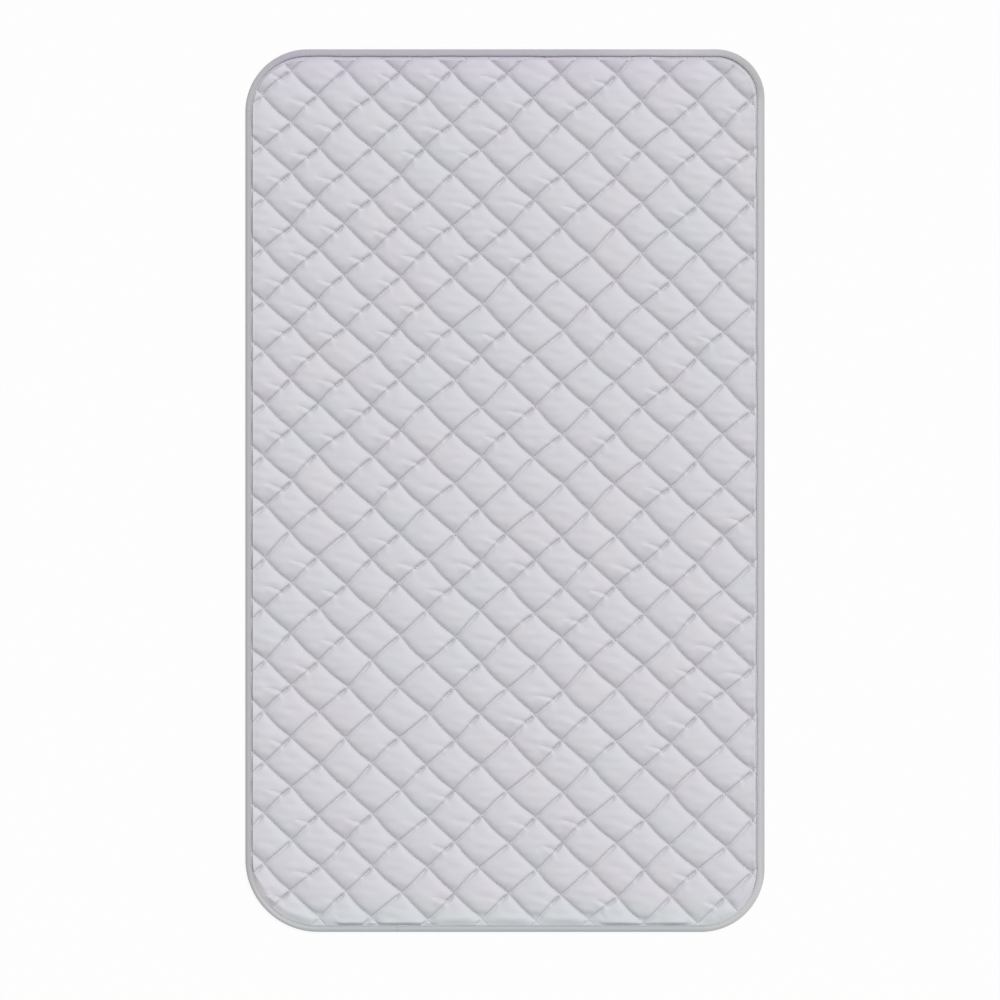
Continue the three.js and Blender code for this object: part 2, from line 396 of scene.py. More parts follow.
def fillDiamonds(grid):
    # how far the filling lifts and shifts the cloth between the rows that hold it
    values = faceCloth
    past = pastTape(grid.x, grid.y)
    level = faceLevel(grid.x, grid.y, past) + values["grooveDepth"]
    dome = np.sqrt(puffShare(grid.u, grid.v))
    held = grid.onRow | (past < values["held"])
    filling = dice.random((2 * plan["reach"] + 2, 2 * plan["reach"] + 2))
    cellU, cellV = (np.floor(line).astype(int) + plan["reach"] for line in (grid.u, grid.v))
    amount = filling[cellU, cellV]
    low, more = values["startRise"]
    start = level + np.where(held, 0, low * dome * (1 + more * amount))
    scaled = (grid.points(start) * values["scale"]).tolist()
    piece = addObject("solving", newMesh("solving", scaled, grid.quads.tolist()))
    pins, spare = (piece.vertex_groups.new(name=name) for name in ("held", "spare"))
    pins.add(np.nonzero(held[grid.used])[0].tolist(), 1.0, "REPLACE")
    shares = np.round(amount[grid.used], 2)
    for share in np.unique(shares):
        spare.add(np.nonzero(shares == share)[0].tolist(), float(share), "REPLACE")
    cloth = piece.modifiers.new("cloth", "CLOTH")
    settings = cloth.settings
    for name, value in values["solver"].items():
        setattr(settings, name, value)
    settings.shrink_min, settings.shrink_max = -values["spare"][0], -values["spare"][1]
    settings.effector_weights.gravity = 0
    cloth.collision_settings.use_collision = False
    cloth.collision_settings.use_self_collision = False
    cloth.point_cache.frame_end = values["steps"]
    for step in range(1, values["steps"] + 1):
        bpy.context.scene.frame_set(step)
    solved = piece.evaluated_get(bpy.context.evaluated_depsgraph_get()).data
    moved = readAll(solved.vertices, "co", 3) / values["scale"] - grid.points(level)
    bpy.data.objects.remove(piece)
    bpy.context.scene.frame_set(1)
    shifts = np.zeros((3, *level.shape))
    shifts[:, grid.used] = moved.T
    shiftX, shiftY, rise = shifts
    rise = np.maximum(rise, 0) * values["gain"] * (1 + values["skew"] * (1 - 2 * (grid.v % 1)))
    rise = values["fullest"] * np.tanh(rise / values["fullest"])
    downX, downY = -fallingSide / np.hypot(*fallingSide) * values["lean"]
    lean = (rise / values["fullest"]) ** 2
    return shiftX + downX * lean, shiftY + downY * lean, rise


def smoothed(points, grid):
    # one subdivision, with the rows kept as sharp creases
    mesh = newMesh("smoothing", points.tolist(), grid.quads.tolist())
    first, second = readAll(mesh.edges, "vertices", 2, int).T
    onRow, tiny = np.zeros(len(first), bool), 1e-6
    for line in (grid.u[grid.used], grid.v[grid.used]):
        here, there = line[first], line[second]
        onRow |= (np.abs(here - there) < tiny) & (np.abs(here - np.round(here)) < tiny)
    crease = mesh.attributes.new("crease_edge", "FLOAT", "EDGE")
    crease.data.foreach_set("value", onRow.astype(float))
    piece = addObject("smoothing", mesh)
    piece.modifiers.new("smooth", "SUBSURF").levels = 1
    fine = piece.evaluated_get(bpy.context.evaluated_depsgraph_get()).to_mesh()
    finePoints = readAll(fine.vertices, "co", 3)
    fineQuads = readAll(fine.loops, "vertex_index", 1, int).reshape(-1, 4)
    bpy.data.objects.remove(piece)
    return finePoints, fineQuads


def upward(points, quads):
    # even normal at each point
    corners = points[quads]
    flat = np.cross(corners[:, 2] - corners[:, 0], corners[:, 3] - corners[:, 1])
    total = np.zeros_like(points)
    for corner in range(4):
        np.add.at(total, quads[:, corner], flat)
    return total / np.linalg.norm(total, axis=1, keepdims=True)


def openEdges(quads, size):
    ends = quads[:, [0, 1, 1, 2, 2, 3, 3, 0]].reshape(-1, 2)
    return ends[~np.isin(ends[:, 0] * size + ends[:, 1], ends[:, 1] * size + ends[:, 0])]


def addPiece(name, points, faces, look):
    mesh = newMesh(name, points.tolist(), faces)
    mesh.polygons.foreach_set("use_smooth", [True] * len(mesh.polygons))
    mesh.validate()
    piece = addObject(name, mesh)
    mesh.materials.append(look)
    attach(piece, "root")
    return piece


def pointsAlong(first, last, between):
    # the first end of an edge, and the points that were put on it since
    middle = between.get((min(first, last), max(first, last)))
    if middle is None:
        return [first]
    return pointsAlong(first, middle, between) + pointsAlong(middle, last, between)


def withNewPoints(face, between):
    edges = zip(face, face[1:] + face[:1])
    return [number for ends in edges for number in pointsAlong(*ends, between)]


def splitFaces(faces, points, field, lines, between):
    # each face is cut in two where the field passes one of the lines
    for line in lines:
        parts = []
        for face in faces:
            here = [field[corner] - line for corner in face]
            here = [0 if abs(value) < faceCloth["snap"] else value for value in here]
            there = here[1:] + here[:1]
            crossings = sum(one * other < 0 for one, other in zip(here, there)) + here.count(0)
            if crossings != 2 or min(here) >= 0 or max(here) <= 0:
                parts.append(face)
                continue
            inner, outer = [], []
            for first, last, one, other in zip(face, face[1:] + face[:1], here, there):
                inner += [first] * (one >= 0)
                outer += [first] * (one <= 0)
                if one * other < 0:
                    ends = (min(first, last), max(first, last))
                    if ends not in between:
                        share, both = one / (one - other), zip(points[first], points[last])
                        between[ends] = len(points)
                        field[len(points)] = line
                        points.append([a + (b - a) * share for a, b in both])
                    inner.append(between[ends])
                    outer.append(between[ends])
            parts += [inner, outer]
        faces = parts
    return faces


def splitWhereFolded(points, quads, chosen):
    # finer faces along the tape and along each tuck, so that the cloth folds there in even lines
    out = np.stack([*towardsEdge(points[:, 0], points[:, 1]), np.zeros(len(points))], -1)
    inside, lines = insideTape(points[:, 0], points[:, 1]), faceCloth["foldLines"]
    for line in lines:
        off = np.where(np.abs(inside - line) < faceCloth["snap"], inside - line, 0)
        points = points + out * off[:, None]
        inside = inside - off
    x, y = points[:, 0], points[:, 1]
    corners = inside[quads]
    near = (corners.min(1) < lines[-1]) & (corners.max(1) > lines[0])
    grown, between, field = points.tolist(), {}, dict(enumerate(inside.tolist()))
    faces = splitFaces(quads[near].tolist(), grown, field, lines, between)
    middleX, middleY = x[quads].mean(1), y[quads].mean(1)
    free = ~near & (corners.min(1) > 0)
    for start, size, climb, reach in chosen:
        if size <= tucks["trace"]:
            continue
        above = aboveCrease(middleX, middleY, start, climb)
        offX, (past, band) = middleX - start[0], tucks["splitReach"]
        here = np.nonzero(free & (np.abs(above) < band) & (offX > -reach) & (offX < past))[0]
        free[here] = False
        close = [withNewPoints(face, between) for face in quads[here].tolist()]
        used = sorted({number for face in close for number in face})
        places = np.array([grown[number] for number in used]).reshape(-1, 3)
        field = dict(zip(used, aboveCrease(places[:, 0], places[:, 1], start, climb).tolist()))
        faces += splitFaces(close, grown, field, tucks["splitLines"], between)
    faces += quads[free | (~near & (corners.min(1) <= 0))].tolist()
    return np.array(grown), [withNewPoints(face, between) for face in faces]


def hiddenSide(points, quads, count, offset):
    # the cloth's other side, from the same normals
    whole = points[:quads.max() + 1]
    return points[:count] - upward(whole, quads)[:count] * offset


def lowestBeside(points, quads):
    # lowest height of each point and of the squares that it belongs to
    height = points[:quads.max() + 1, 2]
    lowest = height.copy()
    np.minimum.at(lowest, quads.ravel(), np.repeat(height[quads].min(1), 4))
    return lowest


def addCloth(name, grid, shown, hidden, look, cut=None, down=False):
    # the shown side is the smoothed one; the hidden side keeps the plain squares
    points, quads = shown
    size = len(points)
    follows = dict(openEdges(quads, quads.max() + 1).tolist())
    if down:
        faces = quads[:, ::-1].tolist() + (grid.quads + size).tolist()
    else:
        faces = (cut or quads.tolist()) + (grid.quads[:, ::-1] + size).tolist()
    for first, last in openEdges(grid.quads, len(hidden)).tolist():
        edge = [last, follows[first], first, first + size, last + size]
        faces.append(edge[::-1] if down else edge)
    return addPiece(name, np.concatenate([points, hidden]), faces, look)


# Small tucks where the sewing pushed spare cloth along a rising row
tucks = {
    "start": 0.66,  # share of the way from one falling row to the next
    "slide": 0.06,  # drawn to either side of that
    "climb": (4, 3),  # millimetres that it leaves the row by, and drawn on top
    "reach": (13, 8),  # millimetres that it runs beside the row, and drawn on top
    "bend": 9 * mm,  # how soon it leaves the row
    # depth, reach above and below, and where it fades in past the start
    "crease": (2.6 * mm, 2.2 * mm, 1.3 * mm, (2 * mm, -1.5 * mm)),
    # height, place below the crease, half width above and below, and the same
    "ridge": (2.1 * mm, 3.4 * mm, 2.4 * mm, 6.5 * mm, (3 * mm, -4 * mm)),
    # the crease on along the row: depth, half width, place, where it fades in and out
    "besideRow": (1.4 * mm, 1.4 * mm, 0.7 * mm, (-1.5 * mm, 1.5 * mm), (12 * mm, 8 * mm)),
    "bridge": (1.0, 2.2 * mm, 2.4 * mm),  # share of the row's groove filled, half length, place
    "leastBridge": 0.7,  # of a weak tuck
    "touched": (7 * mm, 19 * mm, 14 * mm),  # place behind the start, half length and half width
    "often": 0.92,  # chance towards the far left corner
    "oftenFrom": ((0.06, -0.12), (-0.16, 0.10)),  # where x and y come to that corner
    "seldom": 0.28,  # in the middle
    "besideEdge": 0.55,  # and along the pad's edge
    "edgeFrom": ((0.075, 0.03), (0.25, 0.12)),  # by depth, and by x
    "leastDepth": 12 * mm,
    "faint": 0.3,  # added chance of a mere trace
    "trace": 0.2,  # how strong a trace is
    "strength": (0.4, 0.4, 0.25),  # least, drawn on top, and on top where tucks are likely
    "splitLines": [line * mm for line in (-3.2, -2.0, -0.9, 0.0, 0.8, 1.8)],
    "splitReach": (2 * mm, 5 * mm),  # past the start and to either side
}


def tuckChance(x, y):
    overX, overY = tucks["oftenFrom"]
    farLeft = smoothStep(*overX, x) * smoothStep(*overY, y)
    overDepth, overX = tucks["edgeFrom"]
    edge = smoothStep(*overDepth, depthInside(x, y)) * smoothStep(*overX, x) * tucks["besideEdge"]
    return max(tucks["seldom"], float(edge), tucks["often"] * float(farLeft))


def chooseTucks():
    # where each tuck starts on its row, how strong it is, how far it climbs and reaches
    chosen, slide, (least, drawn, added) = [], tucks["slide"], tucks["strength"]
    (shortest, longer), (lowest, higher) = tucks["reach"], tucks["climb"]
    for cellU in range(-plan["reach"], plan["reach"]):
        for cellV in range(-plan["reach"], plan["reach"]):
            chance, size, place, climb, reach = dice.random(5)
            start = fromQuilt(cellU + tucks["start"] - slide + 2 * slide * place, float(cellV))
            likely = tuckChance(*start)
            if depthInside(*start) > tucks["leastDepth"] and chance < likely + tucks["faint"]:
                size = least + drawn * size + added * likely if chance < likely else tucks["trace"]
                climb, reach = (lowest + higher * climb) * mm, (shortest + longer * reach) * mm
                chosen.append((start, size, climb, reach))
    return chosen


def aboveCrease(x, y, start, climb):
    return y - start[1] - climb * (1 - np.exp(np.minimum(x - start[0], 0) / tucks["bend"]))


def addTucks(points, chosen):
    x, y, z = points.T
    towardsX, towardsY = risingSide / np.hypot(*risingSide)
    behind, halfLength, halfWidth = tucks["touched"]
    for start, size, climb, reach in chosen:
        near = (np.abs(x - start[0] + behind) < halfLength) & (np.abs(y - start[1]) < halfWidth)
        near = np.nonzero(near)[0]
        offX, offY = x[near] - start[0], y[near] - start[1]
        across, along = offY * towardsX - offX * towardsY, offX * towardsX + offY * towardsY
        above = aboveCrease(x[near], y[near], start, climb)
        fadesOut = smoothStep(-reach, -0.4 * reach, offX)
        depth, upper, lower, fadeIn = tucks["crease"]
        fold = -depth * np.exp(-np.abs(above) / np.where(above > 0, upper, lower))
        fold *= smoothStep(*fadeIn, offX)
        height, below, upper, lower, fadeIn = tucks["ridge"]
        ridge = height * bell(above + below, np.where(above > -below, upper, lower))
        fold += ridge * smoothStep(*fadeIn, offX)
        depth, width, beside, fadeIn, fadeOut = tucks["besideRow"]
        ends = smoothStep(*fadeIn, along) * smoothStep(*fadeOut, along)
        full, length, back = tucks["bridge"]
        filled = groove(across, "risingGroove") * bell(along + back, length)
        alongRow = full * faceCloth["grooveDepth"] * filled
        alongRow -= depth * bell(across - beside, width) * ends
        z[near] += size * fold * fadesOut + max(size, tucks["leastBridge"]) * alongRow


def lowestAround(top):
    # lowest of each point and its neighbours
    for axis in (0, 1):
        top = np.minimum(top, np.minimum(np.roll(top, 1, axis), np.roll(top, -1, axis)))
    return top


def makeFace(look):
    values = faceCloth
    grid = QuiltGrid(values["perDiamond"], values["cutDepth"], values["edgeInset"])
    shiftX, shiftY, rise = fillDiamonds(grid)
    points, quads = smoothed(grid.points(rise, shiftX, shiftY), grid)
    chosen = chooseTucks()
    points, cut = splitWhereFolded(points, quads, chosen)
    x, y = points[:, 0], points[:, 1]
    sags = ripples(x, y, *values["sagLength"])
    points[:, 2] += values["sagSize"] * puffShare(*toQuilt(x, y)) * sags
    addTucks(points, chosen)
    points[:, 2] = points[:, 2] * smoothStep(*values["puffs"], pastTape(x, y)) + sewnLevel(x, y)
    hidden = hiddenSide(points, quads, grid.used.sum(), values["thickness"])
    past = np.maximum(insideTape(hidden[:, 0], hidden[:, 1]) - values["liningStart"], 0)
    beside = values["edgeLevel"] - values["thickness"] + values["liningRise"] * past
    below = lowestBeside(points, quads)[:len(hidden)] - values["liningGap"] * values["thickness"]
    hidden[:, 2] = np.minimum.reduce([hidden[:, 2], below, beside])
    piece = addCloth("quilted_face_cloth", grid, (points, quads), hidden, look, cut)
    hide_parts("face_fabric")
    lining = np.full(grid.u.shape, 1.0)
    lining[grid.used] = hidden[:, 2]
    return piece, (shiftX, shiftY, rise, lowestAround(lining))


# Backing cloth and wadding

backingCloth = {
    "perDiamond": 6,
    "thickness": 0.5 * mm,
    "rowLevel": 1.0 * mm,  # underside of the cloth where a row holds it
    "edgeLevel": 1.55 * mm,
    "restLevel": 0.03 * mm,  # where it lies on the table
    "edgeReach": (15 * mm, 7.5 * mm),  # where it comes from one level to the other
    "heldDepth": 6.2 * mm,
    "fill": 0.9,  # how readily the filling pushes it down to the table
}

wadding = {
    "cutDepth": 6 * mm,
    "edgeInset": 4.5 * mm,
    "gap": 0.15 * mm,
    "edgeSink": 1.2 * mm,  # it lies lower beside the tape
    "edgeReach": 11.5 * mm,
    "edgeRise": 0.35,
}


def backingLevel(depth):
    low, high = backingCloth["rowLevel"], backingCloth["edgeLevel"]
    return low + (high - low) * smoothStep(*backingCloth["edgeReach"], depth)


def backingHeight(depth, rise):
    level = backingLevel(depth)
    room = level - backingCloth["restLevel"]
    return level - room * (1 - np.exp(-backingCloth["fill"] * rise / room))


def coarseGrid(filling, sheet):
    # a net with fewer squares than the face cloth's, and the filling at its points
    grid = QuiltGrid(backingCloth["perDiamond"], sheet["cutDepth"], sheet["edgeInset"])
    step = faceCloth["perDiamond"] // backingCloth["perDiamond"]
    shiftX, shiftY, rise, top = (values[::step, ::step] for values in filling)
    return grid, shiftX, shiftY, rise * (grid.depth > backingCloth["heldDepth"]), top


def makeBacking(look, filling):
    grid, _, _, rise, _ = coarseGrid(filling, faceCloth)
    points, quads = smoothed(grid.points(backingHeight(grid.depth, rise)), grid)
    hidden = hiddenSide(points, quads, grid.used.sum(), -backingCloth["thickness"])
    piece = addCloth("backing_cloth", grid, (points, quads), hidden, look, down=True)
    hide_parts("backing_fabric")
    return piece


def makeWadding(look, filling):
    values = wadding
    grid, shiftX, shiftY, rise, top = coarseGrid(filling, values)
    past = np.maximum(grid.depth - values["edgeReach"], 0)
    beside = faceCloth["edgeLevel"] - values["edgeSink"] + values["edgeRise"] * past
    top = np.minimum(top, beside) - values["gap"]
    bottom = backingHeight(grid.depth, rise) + backingCloth["thickness"] + values["gap"]
    upper, lower = grid.points(top, shiftX, shiftY), grid.points(bottom)
    size = len(upper)
    faces = grid.quads.tolist() + (grid.quads[:, ::-1] + size).tolist()
    rim = openEdges(grid.quads, size).tolist()
    faces += [[last, first, first + size, last + size] for first, last in rim]
    piece = addPiece("wadding_sheet", np.concatenate([upper, lower]), faces, look)
    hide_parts("wadding")
    return piece


# Binding tape, folded round the edge

binding = {
    # inset and height of the tape's outer side and then of its inner side, in millimetres
    "section": [
        (7.0, 4.3), (7.35, 4.5), (7.45, 4.85), (7.15, 5.2), (6.6, 5.28), (6.0, 5.12), (5.2, 5.28),
        (3.8, 5.38), (2.2, 5.15), (1.0, 4.55), (0.28, 3.75), (0.0, 2.85), (0.28, 1.95), (1.0, 1.2),
        (2.2, 0.8), (3.8, 0.66), (5.2, 0.66), (6.0, 0.78), (6.7, 0.66), (7.2, 0.8), (7.4, 1.1),
        (7.0, 1.42), (6.0, 1.45), (3.0, 1.5), (1.4, 1.85), (0.62, 2.85), (1.4, 3.85), (3.0, 4.16),
        (6.0, 4.2)],
    "outerPoints": 21,
    "stationStep": 2.5 * mm,
    "joinAt": (-0.1035, -0.425),
    "joinLap": 13 * mm,
    "joinStep": 0.45 * mm,
    "joinEdge": 0.3 * mm,
    "dentsAt": [(-0.25, 0.3640), (-0.25, -0.3605)],
    "dent": (0.22 * mm, 0.8 * mm),  # depth and half width
    "fineStations": (4 * mm, 0.35 * mm),  # about the join and the dents, how far and how close
    "waver": (0.22 * mm, ((17, 0.4), (41, 2.1), (67, 4.4))),  # size, then waves round the pad
    "gather": (0.09 * mm, ((310, 1.0), (427, 3.3), (523, 5.0))),
    "seamInset": 6.0 * mm,
    "upperLeg": 4.4 * mm,  # the outer side's points above this are on the upper leg
    "proudFrom": (3 * mm, 6.5 * mm),  # inset where it starts to stand proud and does so in full
    "fold": 2 * mm,  # inset of the folded edge, which keeps its shape
}


def placeNear(target):
    places = np.linspace(0, outlineLength(), 40000)
    x, y, _, _ = walkOutline(places)
    return float(places[np.argmin(np.hypot(x - target[0], y - target[1]))])


def fitInset(inset, leg):
    # the folded edge stays, and the legs grow or shrink
    fold, widest = binding["fold"], max(point[0] for point in binding["section"]) * mm
    return np.where(inset > fold, fold + (inset - fold) * (leg - fold) / (widest - fold), inset)


def sewnWaver(places):
    # the tape's width wavers a little and it gathers at the seam
    share = places / outlineLength() * fullTurn
    return [size * (sum(np.sin(share * count + phase) for count, phase in waves) / 2)
            for size, waves in (binding["waver"], binding["gather"])]


def lapOverJoin(places):
    # how much the tape's end stands out over its beginning
    past = places - placeNear(binding["joinAt"])
    edge, lap = binding["joinEdge"], binding["joinLap"]
    return binding["joinStep"] * smoothStep(-edge, edge, past) * smoothStep(lap, 0.4 * lap, past)


def makeBinding(look):
    values = binding
    join, *dents = (placeNear(at) for at in [values["joinAt"]] + values["dentsAt"])
    stations = [np.arange(0, outlineLength() - 1 * mm, values["stationStep"])]
    reach, step = values["fineStations"]
    stations += [np.arange(at - reach, at + reach, step) for at in [join] + dents]
    places = np.unique(np.round(np.concatenate(stations), 6))
    x, y, outX, outY = walkOutline(places)
    inset, height = (np.array(values["section"]) * mm).T
    leg = inset.max()
    nextX, nextY = (np.roll(a, -1) - np.roll(a, 1) for a in (inset, height))
    size = np.hypot(nextX, nextY)
    outward = np.stack([nextY / size, -nextX / size], -1)
    outerSide = np.arange(len(inset)) < values["outerPoints"]
    waver, gather = sewnWaver(places)
    inset, height = np.tile(inset, (len(places), 1)), np.tile(height, (len(places), 1))
    towardsSeam = (inset / leg) ** 2
    onTop = outerSide & (height[0] > values["upperLeg"])
    legHere, _, proud, _ = (part[:, None] for part in fitTowards(outX, outY))
    height += proud * smoothStep(*values["proudFrom"], inset) * onTop
    inset = fitInset(inset, legHere)
    inset += towardsSeam * waver[:, None]
    height += towardsSeam * gather[:, None] * onTop
    depth, width = values["dent"]
    for at in dents:
        height -= depth * bell(places - at, width)[:, None] * onTop
    lap = lapOverJoin(places)
    inset += lap[:, None] * outward[:, 0] * outerSide * (inset > 1 * mm)
    height += lap[:, None] * outward[:, 1] * outerSide
    level = [at[:, None] - out[:, None] * inset for at, out in ((x, outX), (y, outY))]
    points = np.stack([*level, height], -1)
    rows, columns = len(places), height.shape[1]
    number = np.arange(rows * columns).reshape(rows, columns)
    here, there = number, np.roll(number, -1, 0)
    faces = np.stack([here, np.roll(here, -1, 1), np.roll(there, -1, 1), there], -1).reshape(-1, 4)
    piece = addPiece("folded_binding_tape", points.reshape(-1, 3), faces.tolist(), look)
    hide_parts("edge_binding")
    return piece


# Threads

thread = {
    "thickness": 0.42 * mm,
    "share": 0.84,  # of the pitch that a stitch shows
    "sink": 0.45 * mm,  # its ends go down into the cloth
    "lift": 0.10 * mm,
    "underTape": 0.03,  # share of a diamond's side that a row goes on under the tape
    "tapePitch": 3.0 * mm,
    "tapeShare": 0.97,
    "seamHeights": (0.72 * mm, 5.18 * mm),  # of the bobbin thread and the needle thread
}


def stitches(middles, along, up, pitch):
    # a plump stitch between two needle holes, for each row of the arrays
    side = np.cross(up, along)
    half, radius = pitch * thread["share"] / 2, thread["thickness"] / 2
    rings = [middles - along * half - up * thread["sink"]]
    for reach in (-0.55, 0.55):
        for bearing in (0.25, 0.75, 1.25, 1.75):
            turn = bearing * pi
            bulge = side * cos(turn) + up * sin(turn)
            rings.append(middles + along * half * reach + bulge * radius)
    rings.append(middles + along * half - up * thread["sink"])
    points = np.stack(rings, 1).reshape(-1, 3)
    shape = []
    for corner in range(4):
        this, after = 1 + corner, 1 + (corner + 1) % 4
        shape += [[0, after, this], [this, after, after + 4, this + 4], [this + 4, after + 4, 9]]
    starts = range(0, len(points), len(rings))
    faces = [[number + start for number in face] for start in starts for face in shape]
    return points, faces


def joinParts(parts):
    points, faces, start = [], [], 0
    for partPoints, partFaces in parts:
        points.append(partPoints)
        faces += [[number + start for number in face] for face in partFaces]
        start += len(partPoints)
    return np.concatenate(points), faces


def makeRow(node, look):
    low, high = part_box(node)
    rising = node.startswith("rising")
    corners = [(low.x, low.y), (high.x, high.y)] if rising else [(high.x, low.y), (low.x, high.y)]
    (startU, startV), (endU, endV) = (toQuilt(*corner) for corner in corners)
    first, last = (startU, endU) if rising else (startV, endV)
    line = round((startV + endV) / 2 if rising else (startU + endU) / 2)
    pitchCount, under = plan["stitches"], thread["underTape"]
    first, last = (first - under) * pitchCount, (last + under) * pitchCount
    counts = np.arange(ceil(first), floor(last))
    ends = []
    for place in (counts / pitchCount, (counts + 1) / pitchCount):
        fixed = np.full_like(place, line)
        x, y = fromQuilt(place, fixed) if rising else fromQuilt(fixed, place)
        ends.append(np.stack([x, y, sewnLevel(x, y), backingLevel(depthInside(x, y))], -1))
    middle, step = (ends[0] + ends[1]) / 2, ends[1] - ends[0]
    parts = []
    for height, lift in ((2, thread["lift"]), (3, -thread["lift"])):
        along = step[:, [0, 1, height]]
        pitch = np.linalg.norm(along, axis=1, keepdims=True)
        along = along / pitch
        level = np.stack([along[:, 1], -along[:, 0], np.zeros(len(along))], -1)
        up = np.cross(along, level) * (-1 if lift > 0 else 1)
        up /= np.linalg.norm(up, axis=1, keepdims=True)
        middles = middle[:, [0, 1, height]] + [0, 0, lift]
        parts.append(stitches(middles, along, up, float(pitch.mean())))
    name = ("rising" if rising else "falling") + "_row_stitches_" + node[-2:]
    piece = addPiece(name, *joinParts(parts), look)
    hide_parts(node)
    return piece


def makeSeam(name, node, look, upwards):
    count = int(outlineLength() / thread["tapePitch"])
    pitch = outlineLength() / count
    places = (np.arange(count) + 0.5) * pitch
    waver, _ = sewnWaver(places)
    x, y, outX, outY = walkOutline(places)
    leg, _, proud, _ = fitTowards(outX, outY)
    inset = fitInset(binding["seamInset"], leg) + 0.6 * waver
    height = thread["seamHeights"][upwards] + (proud + lapOverJoin(places)) * upwards
    middles = np.stack([x - outX * inset, y - outY * inset, height], -1)
    along = np.stack([-outY, outX, np.zeros(count)], -1)
    up = np.tile([0.0, 0.0, 1.0 if upwards else -1.0], (count, 1))
    piece = addPiece(name, *stitches(middles, along, up, pitch * thread["tapeShare"]), look)
    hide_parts(node)
    return piece


# Materials

class Wire:
    # one socket of a material, so that shader maths reads as sums
    def __init__(self, look, socket):
        self.look, self.socket = look, socket

    def reckon(self, operation, first, second=0.0):
        return self.look.node("Math", {"operation": operation}, {0: first, 1: second})

    def __add__(self, other):
        return self.reckon("ADD", self, other)

    def __sub__(self, other):
        return self.reckon("SUBTRACT", self, other)

    def __rsub__(self, other):
        return self.reckon("SUBTRACT", other, self)

    def __mul__(self, other):
        return self.reckon("MULTIPLY", self, other)

    __radd__, __rmul__ = __add__, __mul__

    def sine(self):
        return self.reckon("SINE", self)

    def size(self):
        return self.reckon("ABSOLUTE", self)

    def nearest(self):
        return self.reckon("ROUND", self)

    def orLarger(self, other):
        return self.reckon("MAXIMUM", self, other)


class Look:
    # a material and the one way that nodes are added to it
    def __init__(self, name, owner=None):
        self.owner = owner or bpy.data.materials.new(name)
        self.owner.use_nodes = True
        self.tree = self.owner.node_tree
        self.tree.nodes.clear()

    def node(self, kind, settings=None, inputs=None, output=0):
        made = self.tree.nodes.new("ShaderNode" + kind)
        for name, value in (settings or {}).items():
            setattr(made, name, value)
        for name, value in (inputs or {}).items():
            if isinstance(value, Wire):
                self.tree.links.new(value.socket, made.inputs[name])
            else:
                made.inputs[name].default_value = value
        return Wire(self, made.outputs[output]) if made.outputs else None

    def seen(self):
        # 1 where the camera looks, also by way of a reflection or through glass
        outputs = self.node("LightPath").socket.node.outputs
        kinds = ("Is Camera Ray", "Is Glossy Ray", "Is Transmission Ray")
        direct, glossy, through = (Wire(self, outputs[kind]) for kind in kinds)
        return direct + glossy + through

    def place(self):
        at = self.node("TexCoord", output=3)
        split = self.node("SeparateXYZ", inputs={0: at})
        return at, split, Wire(self, split.socket.node.outputs[1])

    def noise(self, at, scale, detail=2.0, stretch=(1, 1, 1)):
        at = self.node("VectorMath", {"operation": "MULTIPLY"}, {0: at, 1: stretch})
        return self.node("TexNoise", {}, {"Vector": at, "Scale": scale, "Detail": detail})

    def blend(self, share, first, second):
        return self.node("Mix", {"data_type": "RGBA"}, {0: share, 6: first, 7: second}, output=2)

    def range(self, value, low, high, newLow=0.0, newHigh=1.0):
        return self.node("MapRange", {"interpolation_type": "SMOOTHSTEP"},
                         {0: value, 1: low, 2: high, 3: newLow, 4: newHigh})

    def tinted(self, colour, values, x, y):
        # another tint in some places of the pad
        for tint, overX, overY in values["places"]:
            shares = [self.range(axis, *ends) for axis, ends in ((x, overX), (y, overY)) if ends]
            share = shares[0] * shares[1] if overX and overY else shares[0]
            colour = self.blend(share, colour, values[tint])
        return colour

    def cloth(self, values, colour, roughness, height):
        relief = {"Strength": 1.0, "Distance": values["relief"], "Height": height}
        bump = self.node("Bump", {}, relief)
        inputs = {"Base Color": colour, "Roughness": roughness, "Normal": bump}
        inputs.update({"Sheen Weight": values["sheen"], "Specular IOR Level": 0.35})
        shader = self.node("BsdfPrincipled", {}, inputs)
        self.node("OutputMaterial", {}, {"Surface": shader})
        return self.owner


def plainWeave(x, y, pitch):
    # threads that go over and under each other
    turn = pi / pitch
    warp, weft = (x * turn).sine(), (y * turn).sine()
    return (warp * weft * 0.5 + 0.5) * 0.6 + (warp * warp + weft * weft) * 0.2


def shade(red, green, blue):
    # a colour as a screen shows it, from 0 to 255, as the light that it stands for
    return tuple(((part / 255 + 0.055) / 1.055) ** 2.4 for part in (red, green, blue)) + (1,)


faceLook = {
    "colour": shade(205, 204, 210),
    "rosy": shade(212, 203, 208),
    "cool": shade(200, 207, 209),
    "lilac": shade(206, 199, 214),
    # tint, then for x and for y where it begins and is in full, and its share at each
    "places": [
        ("lilac", (0.21, 0.17, 0.3, 1), (0.365, 0.415, 0, 0.55)),
        ("cool", None, (-0.385, -0.418, 0, 0.65)),
    ],
    "patchScale": 14.0,
    "roughness": 0.62,
    "sheen": 0.12,
    "relief": 1 * mm,
    "weavePitch": 0.55 * mm,
    "crinkleScale": 150.0,
    "pullReach": 0.055,  # beside a row, as a share of a diamond's side
    "shares": (0.30, 0.035, 0.35),  # of crinkle, weave and pull in the relief
}


